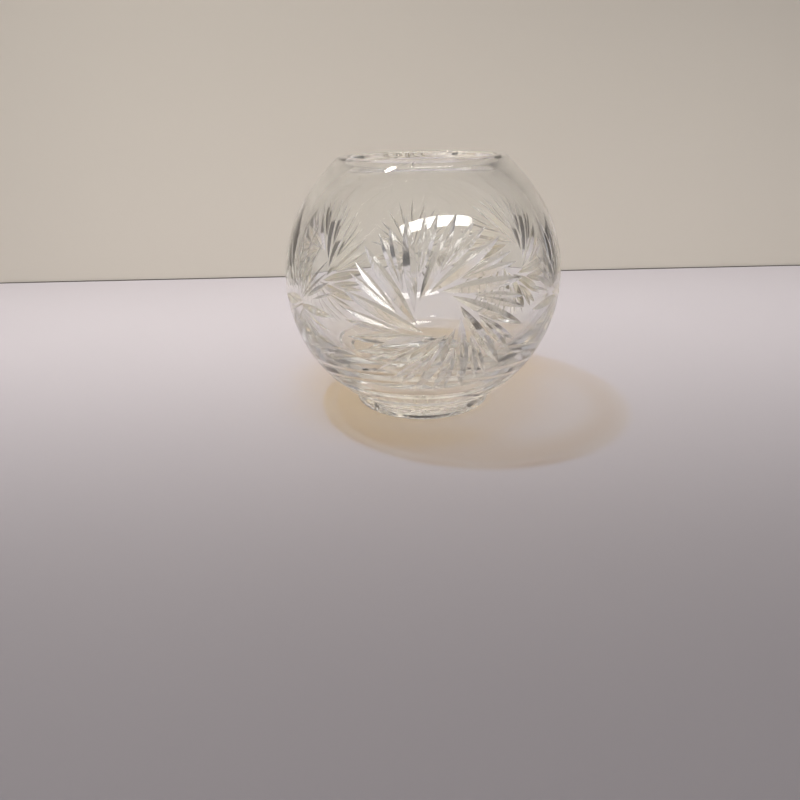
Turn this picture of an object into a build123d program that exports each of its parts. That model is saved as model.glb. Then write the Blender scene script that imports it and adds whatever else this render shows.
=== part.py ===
"""Cut crystal bowl: one thick-walled, nearly spherical piece of clear glass.

Three pinwheels of mitre cuts go round its widest level, with a star and fan motif between
each pair. Two ring mitres circle the body above a short foot, and a star is cut under the base.

Frame: millimetres, +Z up, origin at the centre of the foot's resting face. Azimuth 0 faces -Y
and grows towards +X, and the middle of one pinwheel is at azimuth 0.
"""

import os
from math import acos, asin, cos, degrees, radians, sin, tan

from build123d import *

# Body: a sphere that straightens a little towards a small mouth with an upright inner lip.
BODY_R = 70.0
BODY_CENTRE_Z = 65.0
BODY_CENTRE = Vector(0, 0, BODY_CENTRE_Z)
SHOULDER_LATITUDE = 35.0
RIM_Z = 124.0
RIM_OUTER_R = 40.2
RIM_INNER_R = 35.5
RIM_OUTER_ROUND = 4.0
RIM_INNER_ROUND = 1.0
LIP_DEPTH = 4.5
LIP_ROUND = 5.0
LEVEL_MARGIN = 0.1  # how far from its level an edge is still picked

# Cavity: widest at the body's middle, with a flatter floor that leaves a heavy base.
CAVITY_R = 64.0
FLOOR_Z = 12.0

# Foot: a short round pad with a shallow hollow under it, so that it rests on a ring.
FOOT_R = 36.6
FOOT_EDGE_ROUND = 0.6
REST_INNER_R = 29.0
HOLLOW_DEPTH = 2.0

# Ring mitres round the lower body: latitude, depth and half the angle of the V.
RING_LATITUDES = (-39.5, -47.5)
RING_DEPTH = 0.8
RING_HALF_ANGLE = 70.0

# Star under the base.
BASE_STAR_POINTS = 24
BASE_STAR_R = 26.0
BASE_STAR_DEPTH = 0.8
BASE_STAR_HALF_ANGLE = 52.0

# Pinwheels: angles in degrees as seen from the body's centre.
MOTIFS = 3
PINWHEEL_LATITUDE = 0.4
BLADES = 12
BLADE_PHASE = 17.0
BLADE_TIP = 35.0
BLADE_ROOT = 8.0
BLADE_SWEEP = 66.0
BLADE_HALF_ANGLE = 46.0
SPLIT_OFFSETS = (11.0, 18.5)
SPLIT_TIP = 34.5
SPLIT_ROOT = 14.0
SPLIT_SWEEP = 40.0
SPLIT_HALF_ANGLE = 52.0

# Star and fan motifs, midway between the pinwheels. Each mitre is a direction, the distances
# from the motif's centre where it starts and ends, its depth and half the angle of its V.
STAR_LATITUDE = -1.5
LEAF = (-4.0, 1.0, 21.0, 2.4, 42.0)
FAN = (
    (76.0, 3.0, 31.0, 0.75, 40.0),
    (62.0, 3.0, 28.0, 0.75, 40.0),
    (47.0, 3.0, 26.0, 0.75, 40.0),
    (39.0, 3.0, 23.0, 0.75, 40.0),
    (30.0, 8.0, 22.0, 1.30, 45.0),
    (19.0, 10.0, 25.0, 0.75, 40.0),
    (-24.0, 3.0, 20.0, 0.75, 40.0),
    (-44.0, 3.0, 18.0, 0.75, 40.0),
    (-61.0, 3.0, 19.0, 0.75, 40.0),
)
SPINE = ((90.0, 3.0, 32.0, 0.90, 40.0), (-89.0, 3.0, 21.0, 0.75, 40.0))

# How far every cutter reaches above the glass, and how far an arc keel runs past its ends.
CLEARANCE = 1.5
KEEL_OVERRUN = 1.2


def on_sphere(azimuth, latitude):
    """Unit vector from the body's centre."""
    a = radians(azimuth)
    lat = radians(latitude)
    return Vector(sin(a) * cos(lat), -cos(a) * cos(lat), sin(lat))


def around(azimuth, latitude, distance, angle):
    """Unit vector at a distance from a motif's centre, anticlockwise from its right."""
    middle = on_sphere(azimuth, latitude)
    right = on_sphere(azimuth + 90, 0)
    up = middle.cross(right)
    across = right * cos(radians(angle)) + up * sin(radians(angle))
    return middle * cos(radians(distance)) + across * sin(radians(distance))


def half_length(start, end):
    """Half the straight distance between a mitre's ends."""
    return BODY_R * (end - start).length / 2


def sagitta(start, end):
    """How far a mitre's chord runs under the surface at its middle."""
    return BODY_R * (1 - (end + start).length / 2)


def chord_plane(start, end):
    """Plane across a straight mitre at its middle: local x across it, local y outwards."""
    middle = (start + end) * 0.5
    along = (end - start).normalized()
    across = middle.normalized().cross(along)
    return Plane(origin=BODY_CENTRE + middle * BODY_R, x_dir=across, z_dir=along)


def keel_arc(start, end, depth):
    """Plane at the start of an arc keel, the axis that the arc turns about, and its sweep."""
    chord = chord_plane(start, end)
    rise = sagitta(start, end) - depth
    radius = (half_length(start, end) ** 2 + rise**2) / (2 * rise)
    middle = chord.origin + chord.y_dir * rise
    centre = middle - chord.y_dir * radius
    sweep = 2 * degrees(asin(half_length(start, end) / abs(radius))) * KEEL_OVERRUN
    back = -sweep / 2 if radius > 0 else sweep / 2
    turn = Axis((0, 0, 0), chord.x_dir)
    first = centre + (middle - centre).rotate(turn, back)
    along = chord.z_dir.rotate(turn, back)
    axis = Axis(centre, chord.x_dir if radius > 0 else -chord.x_dir)
    return Plane(origin=first, x_dir=chord.x_dir, z_dir=along), axis, sweep


def groove(half_angle, depth):
    """Corners of a V with its point at the origin, open upwards."""
    height = depth + CLEARANCE
    width = height * tan(radians(half_angle))
    return (0, 0), (width, height), (-width, height)


def pinwheel(azimuth):
    """Ends of a pinwheel's blades and of the thin mitres between them."""
    blades = []
    splits = []
    for k in range(BLADES):
        phase = BLADE_PHASE + k * 360 / BLADES
        root = around(azimuth, PINWHEEL_LATITUDE, BLADE_ROOT, phase + BLADE_SWEEP)
        tip = around(azimuth, PINWHEEL_LATITUDE, BLADE_TIP, phase)
        blades.append((root, tip))
        split_root = around(azimuth, PINWHEEL_LATITUDE, SPLIT_ROOT, phase + SPLIT_SWEEP)
        for offset in SPLIT_OFFSETS:
            split_tip = around(azimuth, PINWHEEL_LATITUDE, SPLIT_TIP, phase + offset)
            splits.append((split_root, split_tip))
    return blades, splits


def star(azimuth):
    """Mitres of a star and fan motif: start, end, depth and half the angle of each V."""
    pairs = (LEAF,) + FAN
    mirrored = tuple((180 - angle, *rest) for angle, *rest in pairs)
    mitres = []
    for angle, near, far, depth, half_angle in pairs + mirrored + SPINE:
        start = around(azimuth, STAR_LATITUDE, near, angle)
        end = around(azimuth, STAR_LATITUDE, far, angle)
        mitres.append((start, end, depth, half_angle))
    return mitres


def base_star():
    """Planes across the middles of the straight mitres that cross under the base."""
    keel = Vector(0, 0, HOLLOW_DEPTH + BASE_STAR_DEPTH)
    planes = []
    for k in range(BASE_STAR_POINTS // 2):
        along = on_sphere(k * 360 / BASE_STAR_POINTS, 0)
        planes.append(Plane(origin=keel, x_dir=along.cross(Vector(0, 0, 1)), z_dir=along))
    return planes


blades = []
splits = []
star_mitres = []
for motif in range(MOTIFS):
    azimuth = motif * 360 / MOTIFS
    motif_blades, motif_splits = pinwheel(azimuth)
    blades += motif_blades
    splits += motif_splits
    star_mitres += star(azimuth + 180 / MOTIFS)

foot_latitude = -degrees(acos(FOOT_R / BODY_R))
body_middle = (0, BODY_CENTRE_Z)
rim_outside = (RIM_OUTER_R, RIM_Z)
rim_inside = (RIM_INNER_R, RIM_Z)
lip_bottom = (RIM_INNER_R, RIM_Z - LIP_DEPTH)
floor_depth = BODY_CENTRE_Z - FLOOR_Z

with BuildPart() as crystal_bowl:
    # The blown form, turned about its own axis.
    with BuildSketch(Plane.XZ):
        with BuildLine():
            body = CenterArc(body_middle, BODY_R, foot_latitude, SHOULDER_LATITUDE - foot_latitude)
            TangentArc(body @ 1, rim_outside, tangent=body % 1)
            Polyline(rim_outside, rim_inside, lip_bottom)
            TangentArc((CAVITY_R, BODY_CENTRE_Z), lip_bottom, tangent=(0, 1))
            EllipticalCenterArc(body_middle, CAVITY_R, floor_depth, start_angle=-90, arc_size=90)
            Polyline((0, FLOOR_Z), (0, HOLLOW_DEPTH), (REST_INNER_R - HOLLOW_DEPTH, HOLLOW_DEPTH))
            Polyline((REST_INNER_R - HOLLOW_DEPTH, HOLLOW_DEPTH), (REST_INNER_R, 0), (FOOT_R, 0), body @ 0)
        make_face()
    revolve(axis=Axis.Z)
    edges = crystal_bowl.edges().filter_by(GeomType.CIRCLE)
    lip = edges.filter_by_position(Axis.Z, lip_bottom[1] - LEVEL_MARGIN, lip_bottom[1] + LEVEL_MARGIN)
    fillet(lip.sort_by(SortBy.RADIUS)[0], radius=LIP_ROUND)
    rims = crystal_bowl.edges().filter_by(GeomType.CIRCLE).group_by(Axis.Z)[-1].sort_by(SortBy.RADIUS)
    fillet(rims[-1], radius=RIM_OUTER_ROUND)
    rims = crystal_bowl.edges().filter_by(GeomType.CIRCLE).group_by(Axis.Z)[-1].sort_by(SortBy.RADIUS)
    fillet(rims[0], radius=RIM_INNER_ROUND)
    feet = crystal_bowl.edges().filter_by(GeomType.CIRCLE).group_by(Axis.Z)[0].sort_by(SortBy.RADIUS)
    fillet(feet[-1], radius=FOOT_EDGE_ROUND)

    # Ring mitres round the lower body.
    for latitude in RING_LATITUDES:
        outward = on_sphere(90, latitude)
        keel = BODY_CENTRE + outward * (BODY_R - RING_DEPTH)
        across = outward.cross(Vector(0, 1, 0))
        with BuildSketch(Plane(origin=keel, x_dir=across, z_dir=(0, 1, 0))):
            with BuildLine():
                Polyline(*groove(RING_HALF_ANGLE, RING_DEPTH), close=True)
            make_face()
        revolve(axis=Axis.Z, mode=Mode.SUBTRACT)

    # Pinwheels: straight mitres, each along the chord between its ends.
    for mitres, half_angle in ((blades, BLADE_HALF_ANGLE), (splits, SPLIT_HALF_ANGLE)):
        length = max(half_length(*mitre) for mitre in mitres) + CLEARANCE
        depth = max(sagitta(*mitre) for mitre in mitres)
        with BuildSketch(*[chord_plane(*mitre) for mitre in mitres]):
            with BuildLine():
                Polyline(*groove(half_angle, depth), close=True)
            make_face()
        extrude(amount=length, both=True, mode=Mode.SUBTRACT)

    # Stars and fans: mitres whose keels are arcs.
    for start, end, depth, half_angle in star_mitres:
        plane, axis, sweep = keel_arc(start, end, depth)
        with BuildSketch(plane):
            with BuildLine():
                Polyline(*groove(half_angle, depth), close=True)
            make_face()
        revolve(axis=axis, revolution_arc=sweep, mode=Mode.SUBTRACT)

    # Star under the base.
    with BuildSketch(*base_star()):
        with BuildLine():
            Polyline(*groove(BASE_STAR_HALF_ANGLE, BASE_STAR_DEPTH), close=True)
        make_face()
    extrude(amount=BASE_STAR_R, both=True, mode=Mode.SUBTRACT)

crystal_bowl.part.label = "crystal_bowl"
os.makedirs("parts", exist_ok=True)
export_step(crystal_bowl.part, "parts/crystal_bowl.step")
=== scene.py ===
"""Cut crystal bowl on a pale table.

The bowl is one closed mesh: a turned form with two ring mitres in its profile, every other
mitre cut out of it by a closed cutter, and shading normals worked out from the profile, so
that the glass between the cuts is smooth and each cut keeps its crisp edges. The bowl is
worked out in millimetres and scaled at the end; the materials and the studio are in metres.
"""

import math

import bmesh
import bpy
import numpy as np
from mathutils import Matrix, Vector


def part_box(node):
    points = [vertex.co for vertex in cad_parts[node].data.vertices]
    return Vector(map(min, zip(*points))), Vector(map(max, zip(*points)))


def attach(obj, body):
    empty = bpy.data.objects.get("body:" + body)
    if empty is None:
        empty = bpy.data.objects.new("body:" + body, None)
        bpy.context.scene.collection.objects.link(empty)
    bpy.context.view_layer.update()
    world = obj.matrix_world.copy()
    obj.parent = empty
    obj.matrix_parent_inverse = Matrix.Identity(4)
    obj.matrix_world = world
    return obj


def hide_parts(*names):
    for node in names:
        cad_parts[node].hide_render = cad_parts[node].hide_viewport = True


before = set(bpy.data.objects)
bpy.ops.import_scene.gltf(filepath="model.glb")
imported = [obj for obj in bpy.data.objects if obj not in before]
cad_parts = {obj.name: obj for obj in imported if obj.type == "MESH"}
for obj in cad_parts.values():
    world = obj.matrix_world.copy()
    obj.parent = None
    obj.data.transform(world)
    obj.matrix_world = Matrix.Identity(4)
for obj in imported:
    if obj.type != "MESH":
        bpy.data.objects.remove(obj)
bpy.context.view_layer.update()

MM = 0.001
NODE = "crystal_bowl"
low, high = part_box(NODE)

# The bowl's proportions in millimetres, as the CAD model has them.
BODY_R = 70.0
CENTRE_Z = 65.0
SHOULDER_LAT = 35.0
RIM_Z = (high[2] - low[2]) / MM
RIM_OUTER_R = 40.2
RIM_INNER_R = 35.5
RIM_OUTER_ROUND = 4.0
RIM_INNER_ROUND = 1.0
LIP_DEPTH = 4.5
LIP_ROUND = 5.0
CAVITY_R = 64.0
FLOOR_Z = 12.0
FOOT_R = 36.6
FOOT_ROUND = 0.6
REST_R = 29.0
HOLLOW = 2.0
RING_LATS = (-47.5, -39.5)
RING_DEPTH = 0.8
RING_HALF_ANGLE = 70.0

BASE_STAR_POINTS = 24
BASE_STAR_R = 26.0
BASE_STAR_DEPTH = 0.8
BASE_STAR_HALF_ANGLE = 52.0

# The cut pattern, in degrees on the body's sphere. Each mitre of the star motif is a
# direction, the distances from the motif's centre where it starts and ends, its depth in
# millimetres and half the angle of its V.
MOTIFS = 3
PINWHEEL_LAT = 0.4
BLADES = 12
BLADE_PHASE = 17.0
BLADE_TIP = 35.0
BLADE_ROOT = 8.0
BLADE_SWEEP = 66.0
BLADE_HALF_ANGLE = 46.0
SPLIT_OFFSETS = (11.0, 18.5)
SPLIT_TIP = 34.5
SPLIT_ROOT = 14.0
SPLIT_SWEEP = 40.0
SPLIT_HALF_ANGLE = 52.0
STAR_LAT = -1.5
LEAF = (-4.0, 1.0, 21.0, 2.4, 42.0)
FAN = (
    (76.0, 3.0, 31.0, 0.75, 40.0),
    (62.0, 3.0, 28.0, 0.75, 40.0),
    (47.0, 3.0, 26.0, 0.75, 40.0),
    (39.0, 3.0, 23.0, 0.75, 40.0),
    (30.0, 8.0, 22.0, 1.30, 45.0),
    (19.0, 10.0, 25.0, 0.75, 40.0),
    (-24.0, 3.0, 20.0, 0.75, 40.0),
    (-44.0, 3.0, 18.0, 0.75, 40.0),
    (-61.0, 3.0, 19.0, 0.75, 40.0),
)
SPINE = ((90.0, 3.0, 32.0, 0.90, 40.0), (-89.0, 3.0, 21.0, 0.75, 40.0))

# Mesh fineness: segments round the axis, degrees between points of the profile's arcs, and
# how many points the cavity's curve and an arc keel have.
SEGMENTS = 240
ARC_STEP = 1.3
SHOULDER_STEP = 1.0
RIM_STEP = 10
RIM_INNER_STEP = 12
LIP_STEP = 6
FOOT_STEP = 18
CAVITY_POINTS = 60
KEEL_STATIONS = 14

# Cutters stand this far proud of the glass, and arc keels run on past their ends.
CLEARANCE = 1.5
KEEL_RUN_ON = 1.15

CENTRE = np.array((0.0, 0.0, CENTRE_Z))
AXIS_R = 0.001  # nearer the axis than this, a vertex has no direction of its own
SAME_FLANK = math.cos(math.radians(6))  # facets turned less than this share a normal

# The three surfaces of the glass, as material slots.
GLASS, CUT, GROUND = 0, 1, 2

# Glass: its colours, the rounding of cut edges, and the colours that pass through in shadow.
CRYSTAL_IOR = 1.55
EDGE_ROUND = 0.0003
EDGE_SAMPLES = 4
CRYSTAL_TINT = (0.985, 0.99, 0.98, 1)
CUT_TINT = (0.955, 0.975, 1.0, 1)
SHADE_FACE = (0.99, 0.99, 0.99, 1)
SHADE_EDGE = (0.95, 0.87, 0.68, 1)
SHADE_BLEND = 0.75

# Studio: all but the table is placed for a camera that looks along +Y, then turned.
STUDIO = Matrix.Rotation(math.radians(-3), 4, "Z")
CAMERA_PLACE = Vector((-0.0129, -0.3107, 0.1392))
CAMERA_TILT = 25.0
CAMERA_ROLL = -1.28
CAMERA_LENS = 27.0
FULL_FRAME = 36.0
CAMERA_NEAR = 0.01
TABLE_REACH = 2.5
WALL_REACH = 1.6
WALL_Y = 0.284
GAP_HEIGHT = 0.0009
# Painted shadow: the colour of the thin dark strip that stands for the shade in the gap behind the
# table.
GAP_SHADOW_COLOUR = (0.10, 0.09, 0.08)
WALL_COLOUR = (0.55, 0.515, 0.465)
TABLE_COLOUR = (0.42, 0.397, 0.428)
FLAG_COLOUR = (0.015, 0.014, 0.013)
CARD_REACH = 0.5  # a card is one metre across before it is scaled to its size
FLAG_SIZE = (0.11, 0.1)
FLAG_ELEVATION = -2
FLAG_DISTANCE = 0.3
MATTE_ROUGHNESS = 0.6
MATTE_SPECULAR = 0.25
TABLE_GAP = 0.00005
ROOM_DARK = (0.015, 0.015, 0.015, 1)
ROOM_PALE = (0.27, 0.268, 0.285, 1)
ROOM_CEILING = (0.235, 0.235, 0.255, 1)
ROOM_IN_GLASS = 1.6
# The room blends from one colour to the next along the view direction's height and depth.
CEILING_STARTS, CEILING_FULL = 0.1, 0.6
DARK_ENDS, PALE_STARTS = -0.75, -0.1


# ---------------------------------------------------------------- turned form

def arc(centre, radius, first, last, step, inward=False):
    """Points and outward normals along an arc of the profile, angles in degrees from +r."""
    count = max(2, int(abs(last - first) / step) + 2)
    run = []
    for a in np.radians(np.linspace(first, last, count)):
        n = np.array((math.cos(a), math.sin(a)))
        run.append((np.array(centre) + radius * n, -n if inward else n))
    return run


def line(start, end, normal, count=2):
    """Points along a straight stretch of the profile, all with the same normal."""
    start, end = np.array(start, float), np.array(end, float)
    n = np.array(normal, float)
    n /= np.linalg.norm(n)
    return [(start + (end - start) * t, n) for t in np.linspace(0, 1, count)]


def body_point(latitude, radius=BODY_R):
    """Radius and height of a point at a latitude of the body's sphere."""
    a = math.radians(latitude)
    return np.array((radius * math.cos(a), CENTRE_Z + radius * math.sin(a)))


def ring_notch(latitude):
    """Latitudes of a ring mitre's two edges, and its flanks from the lower to the upper."""
    half = math.degrees(RING_DEPTH * math.tan(math.radians(RING_HALF_ANGLE)) / BODY_R)
    lower = body_point(latitude - half)
    keel = body_point(latitude, BODY_R - RING_DEPTH)
    upper = body_point(latitude + half)
    runs = []
    for a, b in ((lower, keel), (keel, upper)):
        d = b - a
        runs.append(line(a, b, (d[1], -d[0])))
    return latitude - half, latitude + half, runs


def profile():
    """Runs of the turned profile, from the axis under the base round to the cavity's floor."""
    foot_lat = -math.degrees(math.acos(FOOT_R / BODY_R))
    runs = [
        line((0, HOLLOW), (REST_R - HOLLOW, HOLLOW), (0, -1), 4),
        line((REST_R - HOLLOW, HOLLOW), (REST_R, 0), (-1, -1)),
        line((REST_R, 0), (FOOT_R - FOOT_ROUND, 0), (0, -1)),
        arc((FOOT_R - FOOT_ROUND, FOOT_ROUND), FOOT_ROUND, -90, 0, FOOT_STEP),
        line((FOOT_R, FOOT_ROUND), body_point(foot_lat), (1, 0), 3),
    ]
    lat = foot_lat
    for ring in RING_LATS:
        lower, upper, flanks = ring_notch(ring)
        runs.append(arc((0, CENTRE_Z), BODY_R, lat, lower, ARC_STEP))
        runs += flanks
        lat = upper
    runs.append(arc((0, CENTRE_Z), BODY_R, lat, SHOULDER_LAT, ARC_STEP))

    # The shoulder's arc leaves the sphere without a kink and passes through the rim's corner.
    start = body_point(SHOULDER_LAT)
    normal = (start - (0, CENTRE_Z)) / BODY_R
    to_rim = np.array((RIM_OUTER_R, RIM_Z)) - start
    shoulder_r = -to_rim @ to_rim / (2 * to_rim @ normal)
    shoulder_centre = start - shoulder_r * normal
    round_z = RIM_Z - RIM_OUTER_ROUND
    reach = shoulder_r - RIM_OUTER_ROUND
    round_r = shoulder_centre[0] + math.sqrt(reach**2 - (round_z - shoulder_centre[1]) ** 2)
    turn = math.degrees(math.atan2(round_z - shoulder_centre[1], round_r - shoulder_centre[0]))
    runs.append(arc(shoulder_centre, shoulder_r, SHOULDER_LAT, turn, SHOULDER_STEP))
    runs.append(arc((round_r, round_z), RIM_OUTER_ROUND, turn, 90, RIM_STEP))

    # The mouth has an upright lip, rounded over into the arc on which the cavity widens.
    rise = RIM_Z - LIP_DEPTH - CENTRE_Z
    neck_r = (CAVITY_R**2 - RIM_INNER_R**2 - rise**2) / (2 * (CAVITY_R - RIM_INNER_R))
    neck_radius = CAVITY_R - neck_r
    lip_r = RIM_INNER_R + LIP_ROUND
    lip_rise = math.sqrt((neck_radius + LIP_ROUND) ** 2 - (lip_r - neck_r) ** 2)
    lip_z = CENTRE_Z + lip_rise
    turn = math.degrees(math.atan2(lip_rise, lip_r - neck_r))
    corner = (RIM_INNER_R + RIM_INNER_ROUND, RIM_Z - RIM_INNER_ROUND)
    runs.append(line((round_r, RIM_Z), (corner[0], RIM_Z), (0, 1)))
    runs.append(arc(corner, RIM_INNER_ROUND, 90, 180, RIM_INNER_STEP))
    runs.append(line((RIM_INNER_R, corner[1]), (RIM_INNER_R, lip_z), (-1, 0)))
    runs.append(arc((lip_r, lip_z), LIP_ROUND, 180, 180 + turn, LIP_STEP))
    runs.append(arc((neck_r, CENTRE_Z), neck_radius, turn, 0, ARC_STEP, inward=True))
    depth = CENTRE_Z - FLOOR_Z
    bowl = []
    for a in np.radians(np.linspace(0, -90, CAVITY_POINTS)):
        n = np.array((math.cos(a) / CAVITY_R, math.sin(a) / depth))
        point = np.array((CAVITY_R * math.cos(a), CENTRE_Z + depth * math.sin(a)))
        bowl.append((point, -n / np.linalg.norm(n)))
    runs.append(bowl)
    return runs


def turned_mesh(runs):
    """Closed mesh of the profile turned about Z; returns it with one entry per profile step."""
    points = [runs[0][0][0]]
    steps = []
    for run in runs:
        for (p, n), (q, m) in zip(run, run[1:]):
            steps.append((p, q, n, m))
            points.append(q)
    bm = bmesh.new()
    angles = np.linspace(0, 2 * math.pi, SEGMENTS, endpoint=False)
    rings = []
    for p in points:
        if p[0] < AXIS_R:
            rings.append([bm.verts.new((0, 0, p[1]))] * SEGMENTS)
        else:
            circle = [(p[0] * math.cos(a), p[0] * math.sin(a), p[1]) for a in angles]
            rings.append([bm.verts.new(v) for v in circle])
    for a, b in zip(rings, rings[1:]):
        for i in range(SEGMENTS):
            j = (i + 1) % SEGMENTS
            corners = list(dict.fromkeys((a[i], a[j], b[j], b[i])))
            bm.faces.new(corners)
    bm.normal_update()
    mesh = bpy.data.meshes.new("bowl")
    bm.to_mesh(mesh)
    bm.free()
    return mesh, steps


# -------------------------------------------------------------------- mitres

def on_sphere(azimuth, latitude):
    """Unit vector in a direction; azimuth 0 is -Y and grows towards +X."""
    a, lat = math.radians(azimuth), math.radians(latitude)
    return np.array((math.sin(a) * math.cos(lat), -math.cos(a) * math.cos(lat), math.sin(lat)))


def around(azimuth, latitude, distance, angle):
    """Unit vector at a distance from a motif's centre, anticlockwise from its right."""
    middle = on_sphere(azimuth, latitude)
    right = on_sphere(azimuth + 90, 0)
    up = np.cross(middle, right)
    a, d = math.radians(angle), math.radians(distance)
    return middle * math.cos(d) + (right * math.cos(a) + up * math.sin(a)) * math.sin(d)


def cutter(keel, outward, half_angle, depth=None):
    """Closed V-shaped cutter along a line of keel points; outward gives the open side.

    Unless a depth is given, it is each point's depth below the body's sphere.
    """
    bm = bmesh.new()
    sections = []
    for i, (point, out) in enumerate(zip(keel, outward)):
        along = keel[min(i + 1, len(keel) - 1)] - keel[max(i - 1, 0)]
        across = np.cross(out, along)
        across /= np.linalg.norm(across)
        height = (BODY_R - np.dot(out, point - CENTRE) if depth is None else depth) + CLEARANCE
        width = height * math.tan(math.radians(half_angle))
        top = point + out * height
        corners = (point, top + across * width, top - across * width)
        sections.append([bm.verts.new(Vector(v)) for v in corners])
    for a, b in zip(sections, sections[1:]):
        for i in range(3):
            j = (i + 1) % 3
            bm.faces.new((a[i], a[j], b[j], b[i]))
    bm.faces.new(sections[0][::-1])
    bm.faces.new(sections[-1])
    bmesh.ops.recalc_face_normals(bm, faces=bm.faces)
    return bm


def straight_mitre(start, end):
    """Keel and open side of a mitre along the chord between two points of the sphere."""
    a, b = CENTRE + BODY_R * start, CENTRE + BODY_R * end
    along = (b - a) / np.linalg.norm(b - a)
    out = (start + end) / np.linalg.norm(start + end)
    return [a - along * CLEARANCE, b + along * CLEARANCE], [out, out]


def arc_mitre(start, end, depth):
    """Keel and open side of a mitre whose keel is an arc, deepest at its middle."""
    middle = (start + end) / 2
    out = middle / np.linalg.norm(middle)
    along = (end - start) / np.linalg.norm(end - start)
    half = BODY_R * np.linalg.norm(end - start) / 2
    rise = BODY_R * (1 - np.linalg.norm(middle)) - depth
    radius = (half**2 + rise**2) / (2 * rise)
    centre = CENTRE + BODY_R * middle + out * (rise - radius)
    limit = math.asin(half / abs(radius)) * KEEL_RUN_ON
    side = math.copysign(1, radius)
    turns = np.linspace(-limit, limit, KEEL_STATIONS)
    rays = [out * math.cos(t) + along * side * math.sin(t) for t in turns]
    return [centre + radius * ray for ray in rays], rays


def pinwheel(azimuth):
    """Cutters of a pinwheel: its blades, and the slimmer mitres that fill the gaps."""
    found = []
    for k in range(BLADES):
        phase = BLADE_PHASE + k * 360 / BLADES
        root = around(azimuth, PINWHEEL_LAT, BLADE_ROOT, phase + BLADE_SWEEP)
        tip = around(azimuth, PINWHEEL_LAT, BLADE_TIP, phase)
        found.append(cutter(*straight_mitre(root, tip), BLADE_HALF_ANGLE))
        root = around(azimuth, PINWHEEL_LAT, SPLIT_ROOT, phase + SPLIT_SWEEP)
        for offset in SPLIT_OFFSETS:
            tip = around(azimuth, PINWHEEL_LAT, SPLIT_TIP, phase + offset)
            found.append(cutter(*straight_mitre(root, tip), SPLIT_HALF_ANGLE))
    return found


def star(azimuth):
    """Cutters of a star and fan motif."""
    pairs = (LEAF,) + FAN
    mirrored = tuple((180 - angle, *rest) for angle, *rest in pairs)
    found = []
    for angle, near, far, depth, half_angle in pairs + mirrored + SPINE:
        start = around(azimuth, STAR_LAT, near, angle)
        end = around(azimuth, STAR_LAT, far, angle)
        found.append(cutter(*arc_mitre(start, end, depth), half_angle))
    return found


def base_star():
    """Cutters of the star under the base: straight mitres that cross at the middle."""
    found = []
    for k in range(BASE_STAR_POINTS // 2):
        reach = on_sphere(k * 360 / BASE_STAR_POINTS, 0) * BASE_STAR_R
        keel = [np.array((0, 0, HOLLOW + BASE_STAR_DEPTH)) + reach * s for s in (-1, 1)]
        down = [np.array((0, 0, -1.0))] * 2
        found.append(cutter(keel, down, BASE_STAR_HALF_ANGLE, BASE_STAR_DEPTH))
    return found


def joined(parts, surface):
    """One closed cutter from several that don't touch each other."""
    bm = bmesh.new()
    for part in parts:
        piece = bpy.data.meshes.new("part")
        part.to_mesh(piece)
        part.free()
        bm.from_mesh(piece)
        bpy.data.meshes.remove(piece)
    for face in bm.faces:
        face.material_index = surface
    mesh = bpy.data.meshes.new("tool")
    bm.to_mesh(mesh)
    bm.free()
    return mesh


def cut(mesh, groups, materials):
    """Takes each group of cutters out of the mesh, one group after another."""
    for material in materials:
        mesh.materials.append(material)
    work = bpy.data.objects.new("work", mesh)
    bpy.context.scene.collection.objects.link(work)
    for surface, group in groups:
        tool_mesh = joined(group, surface)
        for material in materials:
            tool_mesh.materials.append(material)
        tool = bpy.data.objects.new("tool", tool_mesh)
        bpy.context.scene.collection.objects.link(tool)
        boolean = work.modifiers.new("cut", "BOOLEAN")
        boolean.solver = "MANIFOLD"
        boolean.operation = "DIFFERENCE"
        boolean.object = tool
        bpy.context.view_layer.update()
        evaluated = work.evaluated_get(bpy.context.evaluated_depsgraph_get())
        result = bpy.data.meshes.new_from_object(evaluated)
        work.modifiers.clear()
        work.data = result
        bpy.data.objects.remove(tool)
        bpy.data.meshes.remove(tool_mesh)
    bpy.data.objects.remove(work)
    return result


# ----------------------------------------------------------- shading normals

def set_normals(mesh, steps):
    """Smooth glass takes the turned form's own normals; cut facets keep flat or arc ones."""
    start, end, first, last = (np.array([s[i] for s in steps]) for i in range(4))
    span = end - start
    length2 = (span**2).sum(1)
    coords = np.array([v.co for v in mesh.vertices])
    radius = np.hypot(coords[:, 0], coords[:, 1])
    flat = np.stack((radius, coords[:, 2]), 1)
    around_vertex = {}
    for poly in mesh.polygons:
        if poly.material_index != GLASS:
            for v in poly.vertices:
                around_vertex.setdefault(v, []).append(poly.normal)
    normals = np.zeros((len(mesh.loops), 3))
    for poly in mesh.polygons:
        corners = list(poly.vertices)
        if poly.material_index != GLASS:
            for loop, v in zip(poly.loop_indices, corners):
                near = [n for n in around_vertex[v] if n.dot(poly.normal) > SAME_FLANK]
                normals[loop] = sum(near, Vector()).normalized()
            continue
        centre = flat[corners].mean(0)
        t = (((centre - start) * span).sum(1) / length2).clip(0, 1)
        gap = ((start + span * t[:, None] - centre) ** 2).sum(1)
        step = int(gap.argmin())
        face_angle = math.atan2(poly.center[1], poly.center[0])
        for loop, v in zip(poly.loop_indices, corners):
            share = float((flat[v] - start[step]) @ span[step] / length2[step])
            share = min(1.0, max(0.0, share))
            nr, nz = first[step] * (1 - share) + last[step] * share
            angle = face_angle
            if radius[v] > AXIS_R:
                angle = math.atan2(coords[v][1], coords[v][0])
            normals[loop] = (nr * math.cos(angle), nr * math.sin(angle), nz)
    mesh.polygons.foreach_set("use_smooth", [True] * len(mesh.polygons))
    mesh.normals_split_custom_set([Vector(n).normalized() for n in normals])


# ----------------------------------------------------------------- materials

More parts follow.
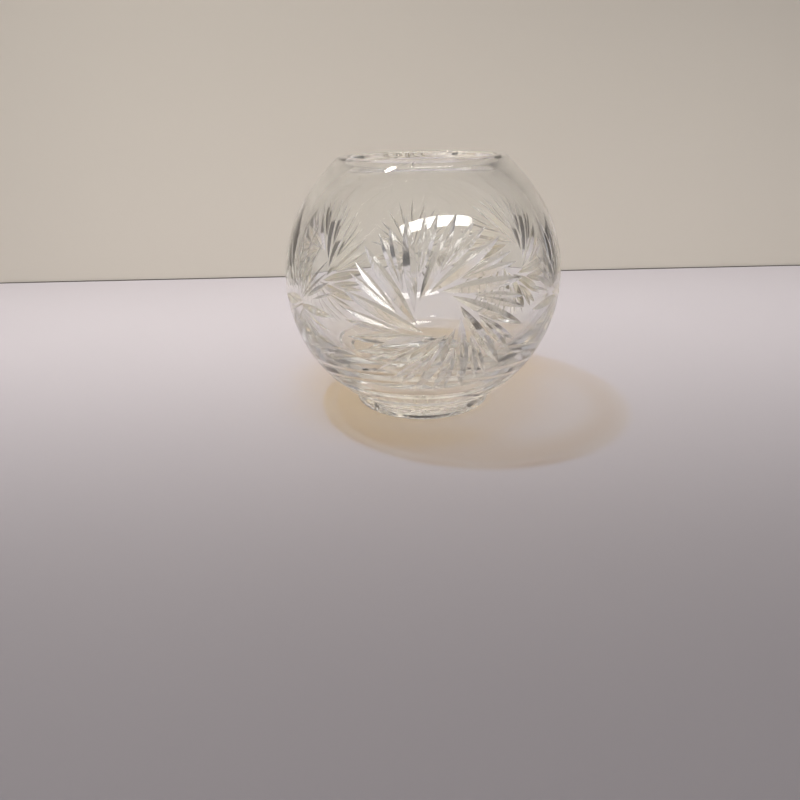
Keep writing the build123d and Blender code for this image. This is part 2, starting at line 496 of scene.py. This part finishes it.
def node(tree, kind, **values):
    """New node; keyword values set its inputs by name, or its own properties."""
    made = tree.nodes.new(kind)
    for name, value in values.items():
        title = name.replace("_", " ").title().replace("Ior", "IOR")
        if title in made.inputs:
            made.inputs[title].default_value = value
        else:
            setattr(made, name, value)
    return made


def crystal(name, tint, waviness, wave_scale, striation, roughness, clearness, edge_round=0.0):
    """Clear lead crystal. Light for shadows passes straight through, dimmed at the edges.

    Waviness is a height in metres, the two scales are noise scales, and roughness and
    clearness are ranges: clearness is the share of the surface that light passes.
    """
    material = bpy.data.materials.new(name)
    material.use_nodes = True
    tree = material.node_tree
    tree.nodes.clear()
    link = tree.links.new
    place = node(tree, "ShaderNodeTexCoord")

    # Faint unevenness left by the polish, at the scale of a fingertip.
    wave = node(tree, "ShaderNodeTexNoise", scale=wave_scale, detail=1.0)
    link(place.outputs["Object"], wave.inputs["Vector"])
    # Fine marks of the wheel.
    marks = node(tree, "ShaderNodeTexNoise", scale=striation, detail=2.0)
    link(place.outputs["Object"], marks.inputs["Vector"])
    rough = node(tree, "ShaderNodeMapRange")
    rough.inputs["To Min"].default_value = roughness[0]
    rough.inputs["To Max"].default_value = roughness[1]
    link(marks.outputs["Fac"], rough.inputs["Value"])
    bump = node(tree, "ShaderNodeBump", strength=1.0, distance=waviness)
    link(wave.outputs["Fac"], bump.inputs["Height"])
    if edge_round:
        bevel = node(tree, "ShaderNodeBevel", radius=edge_round, samples=EDGE_SAMPLES)
        link(bevel.outputs["Normal"], bump.inputs["Normal"])

    clarity = node(tree, "ShaderNodeMapRange")
    clarity.inputs["To Min"].default_value = clearness[1]
    clarity.inputs["To Max"].default_value = clearness[0]
    link(marks.outputs["Fac"], clarity.inputs["Value"])

    glass = node(tree, "ShaderNodeBsdfPrincipled", ior=CRYSTAL_IOR)
    link(clarity.outputs["Result"], glass.inputs["Transmission Weight"])
    glass.inputs["Base Color"].default_value = tint
    link(rough.outputs["Result"], glass.inputs["Roughness"])
    link(bump.outputs["Normal"], glass.inputs["Normal"])

    facing = node(tree, "ShaderNodeLayerWeight", blend=SHADE_BLEND)
    shade = node(tree, "ShaderNodeMix", data_type="RGBA")
    shade.inputs[6].default_value = SHADE_FACE
    shade.inputs[7].default_value = SHADE_EDGE
    link(facing.outputs["Facing"], shade.inputs[0])
    clear = node(tree, "ShaderNodeBsdfTransparent")
    link(shade.outputs[2], clear.inputs["Color"])
    path = node(tree, "ShaderNodeLightPath")
    soft = node(tree, "ShaderNodeMath", operation="MAXIMUM")
    link(path.outputs["Is Shadow Ray"], soft.inputs[0])
    link(path.outputs["Is Diffuse Ray"], soft.inputs[1])
    mix = node(tree, "ShaderNodeMixShader")
    link(soft.outputs[0], mix.inputs[0])
    link(glass.outputs[0], mix.inputs[1])
    link(clear.outputs[0], mix.inputs[2])
    output = node(tree, "ShaderNodeOutputMaterial")
    link(mix.outputs[0], output.inputs["Surface"])
    return material


def matte(name, colour, vary, scale):
    """Plain dull surface with a faint mottling."""
    material = bpy.data.materials.new(name)
    material.use_nodes = True
    tree = material.node_tree
    surface = tree.nodes["Principled BSDF"]
    surface.inputs["Roughness"].default_value = MATTE_ROUGHNESS
    surface.inputs["Specular IOR Level"].default_value = MATTE_SPECULAR
    place = node(tree, "ShaderNodeTexCoord")
    noise = node(tree, "ShaderNodeTexNoise", scale=scale, detail=3.0)
    tree.links.new(place.outputs["Object"], noise.inputs["Vector"])
    mix = node(tree, "ShaderNodeMix", data_type="RGBA")
    mix.inputs[6].default_value = (*[c * (1 - vary) for c in colour], 1)
    mix.inputs[7].default_value = (*colour, 1)
    tree.links.new(noise.outputs["Fac"], mix.inputs[0])
    tree.links.new(mix.outputs[2], surface.inputs["Base Color"])
    return material


# --------------------------------------------------------------------- bowl

def make_bowl():
    """The bowl: turned, cut, shaded and scaled, standing for its CAD node."""
    mesh, steps = turned_mesh(profile())
    pinwheels = [pinwheel(m * 360 / MOTIFS) for m in range(MOTIFS)]
    stars = [star((m + 0.5) * 360 / MOTIFS) for m in range(MOTIFS)]
    groups = [(CUT, group) for group in list(zip(*pinwheels)) + list(zip(*stars))]
    groups += [(GROUND, (mitre,)) for mitre in base_star()]
    skin = crystal(
        "crystal_polished", CRYSTAL_TINT, waviness=0.00004, wave_scale=40.0,
        striation=900.0, roughness=(0.0, 0.03), clearness=(0.99, 1.0),
    )
    facet = crystal(
        "crystal_cut", CUT_TINT, waviness=0.00001, wave_scale=160.0,
        striation=260.0, roughness=(0.08, 0.15), clearness=(0.82, 0.9), edge_round=EDGE_ROUND,
    )
    ground = crystal(
        "crystal_ground", CUT_TINT, waviness=0.00001, wave_scale=160.0,
        striation=700.0, roughness=(0.45, 0.6), clearness=(0.7, 0.85),
    )
    mesh = cut(mesh, groups, (skin, facet, ground))
    set_normals(mesh, steps)
    mesh.transform(Matrix.Scale(MM, 4))
    bowl = bpy.data.objects.new("cut_crystal_bowl", mesh)
    bpy.context.scene.collection.objects.link(bowl)
    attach(bowl, "root")
    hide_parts(NODE)


# -------------------------------------------------------------------- studio

def make_plane(name, size, material):
    """Square staging plane that reaches size from its middle."""
    bm = bmesh.new()
    bmesh.ops.create_grid(bm, x_segments=1, y_segments=1, size=size)
    mesh = bpy.data.meshes.new(name)
    bm.to_mesh(mesh)
    bm.free()
    mesh.materials.append(material)
    plane = bpy.data.objects.new(name, mesh)
    bpy.context.scene.collection.objects.link(plane)
    return plane


def make_stage():
    """Table, wall, and a thin dark strip of painted shadow where they meet."""
    floor = make_plane("table", TABLE_REACH, matte("table_top", TABLE_COLOUR, vary=0.04, scale=6.0))
    floor.location = (0, 0, low[2] - TABLE_GAP)
    upright = Matrix.Rotation(math.pi / 2, 4, "X")
    wall = make_plane("wall", WALL_REACH, matte("wall_paint", WALL_COLOUR, vary=0.03, scale=4.0))
    wall.matrix_world = STUDIO @ Matrix.Translation((0, WALL_Y, 0)) @ upright
    # A thin dark strip along the foot of the wall paints the shadow in the gap between table and
    # wall.
    gap = make_plane("gap", WALL_REACH, matte("gap_shadow", GAP_SHADOW_COLOUR, vary=0.1, scale=8.0))
    gap_place = Matrix.Translation((0, WALL_Y - GAP_HEIGHT, low[2]))
    squash = Matrix.Diagonal((1, GAP_HEIGHT / WALL_REACH, 1, 1))
    gap.matrix_world = STUDIO @ gap_place @ upright @ squash


def from_bowl(azimuth, elevation, distance):
    """Place at a direction and distance from the bowl's middle."""
    return Vector((0, 0, CENTRE_Z * MM)) + Vector(on_sphere(azimuth, elevation)) * distance


def make_flag(name, azimuth):
    """Small upright black card beyond the bowl that only its glass sees, for dark glints."""
    flag = make_plane(name, CARD_REACH, matte(name, FLAG_COLOUR, vary=0.2, scale=5.0))
    place = Matrix.Translation(from_bowl(azimuth, FLAG_ELEVATION, FLAG_DISTANCE))
    turn = Matrix.Rotation(math.radians(azimuth), 4, "Z")
    upright = Matrix.Rotation(math.pi / 2, 4, "X")
    flag.matrix_world = STUDIO @ place @ turn @ upright @ Matrix.Diagonal((*FLAG_SIZE, 1, 1))
    flag.visible_camera = False
    flag.visible_diffuse = False
    flag.visible_glossy = False
    flag.visible_shadow = False


def make_light(name, place, aim, size, power, colour, spread, seen):
    """Soft light. It shows "reflected" in the glass and "through" it, or "lights" the room.

    Seen holds those of the three words that apply.
    """
    data = bpy.data.lights.new(name, "AREA")
    data.shape = "RECTANGLE"
    data.size, data.size_y = size
    data.energy = power
    data.spread = math.radians(spread)
    data.color = colour
    light = bpy.data.objects.new(name, data)
    bpy.context.scene.collection.objects.link(light)
    back = Vector(place) - Vector(aim)
    facing = back.to_track_quat("Z", "Y").to_matrix().to_4x4()
    light.matrix_world = STUDIO @ Matrix.Translation(place) @ facing
    light.visible_glossy = "reflected" in seen
    light.visible_transmission = "through" in seen
    light.visible_diffuse = "lights" in seen
    return light


def make_world():
    """Dim room: pale walls, a slightly dimmer ceiling, and a dark side behind the camera."""
    world = bpy.data.worlds.new("room")
    bpy.context.scene.world = world
    world.use_nodes = True
    tree = world.node_tree
    tree.nodes.clear()
    link = tree.links.new
    place = node(tree, "ShaderNodeTexCoord")
    split = node(tree, "ShaderNodeSeparateXYZ")
    link(place.outputs["Generated"], split.inputs[0])
    height = node(tree, "ShaderNodeMapRange")
    height.inputs["From Min"].default_value = CEILING_STARTS
    height.inputs["From Max"].default_value = CEILING_FULL
    link(split.outputs["Z"], height.inputs["Value"])
    side = node(tree, "ShaderNodeMapRange")
    side.inputs["From Min"].default_value = DARK_ENDS
    side.inputs["From Max"].default_value = PALE_STARTS
    link(split.outputs["Y"], side.inputs["Value"])
    walls = node(tree, "ShaderNodeMix", data_type="RGBA")
    walls.inputs[6].default_value = ROOM_DARK
    walls.inputs[7].default_value = ROOM_PALE
    link(side.outputs["Result"], walls.inputs[0])
    room = node(tree, "ShaderNodeMix", data_type="RGBA")
    room.inputs[7].default_value = ROOM_CEILING
    link(height.outputs["Result"], room.inputs[0])
    link(walls.outputs[2], room.inputs[6])
    # The glass is shown a lighter room than the one that lights the table.
    path = node(tree, "ShaderNodeLightPath")
    in_glass = node(tree, "ShaderNodeMath", operation="MAXIMUM")
    link(path.outputs["Is Glossy Ray"], in_glass.inputs[0])
    link(path.outputs["Is Transmission Ray"], in_glass.inputs[1])
    glow = node(tree, "ShaderNodeMapRange")
    glow.inputs["To Min"].default_value = 1.0
    glow.inputs["To Max"].default_value = ROOM_IN_GLASS
    link(in_glass.outputs[0], glow.inputs["Value"])
    background = node(tree, "ShaderNodeBackground")
    link(glow.outputs["Result"], background.inputs["Strength"])
    link(room.outputs[2], background.inputs["Color"])
    output = node(tree, "ShaderNodeOutputWorld")
    link(background.outputs[0], output.inputs["Surface"])


def make_camera():
    """Phone camera in front of the bowl, looking slightly down."""
    data = bpy.data.cameras.new("camera")
    data.sensor_width = FULL_FRAME
    data.lens = CAMERA_LENS
    data.clip_start = CAMERA_NEAR
    camera = bpy.data.objects.new("camera", data)
    bpy.context.scene.collection.objects.link(camera)
    camera.matrix_world = (
        STUDIO
        @ Matrix.Translation(CAMERA_PLACE)
        @ Matrix.Rotation(math.radians(90 - CAMERA_TILT), 4, "X")
        @ Matrix.Rotation(math.radians(CAMERA_ROLL), 4, "Z")
    )
    bpy.context.scene.camera = camera


def make_lights():
    """Window and lamp are what the glass shows; the others only light the table and wall."""
    middle = from_bowl(0, 0, 0)
    make_light(
        "window", from_bowl(14, 52.5, 1.2), middle, size=(1.15, 0.165), power=2.6,
        colour=(1.0, 0.98, 0.95), spread=90, seen="reflected through",
    )
    lamp = make_light(
        "lamp", from_bowl(-97, 71, 0.75), middle, size=(0.032, 0.09), power=0.32,
        colour=(1.0, 0.93, 0.84), spread=180, seen="reflected",
    )
    lamp.data.shape = "ELLIPSE"
    make_light(
        "bulb", from_bowl(-108, 69, 0.75), middle, size=(0.03, 0.03), power=3.0,
        colour=(1.0, 0.95, 0.88), spread=180, seen="lights",
    )
    make_light(
        "wash", (0, -0.1, 0.95), (0, 0.16, 0.0), size=(1.5, 0.2), power=1.35,
        colour=(1.0, 0.96, 0.90), spread=45, seen="lights",
    )
    make_light(
        "skirt", (0, -0.45, 0.6), (0, 0.29, 0.0), size=(1.2, 0.1), power=0.75,
        colour=(1.0, 0.97, 0.92), spread=50, seen="lights",
    )


make_bowl()
make_stage()
make_lights()
make_flag("flag_left", -139)
make_flag("flag_right", 126)
make_world()
make_camera()

scene = bpy.context.scene
scene.cycles.max_bounces = 32
scene.cycles.transmission_bounces = 32
scene.cycles.glossy_bounces = 24
scene.cycles.transparent_max_bounces = 24
scene.cycles.caustics_reflective = False
scene.cycles.caustics_refractive = False
scene.view_settings.view_transform = "Standard"
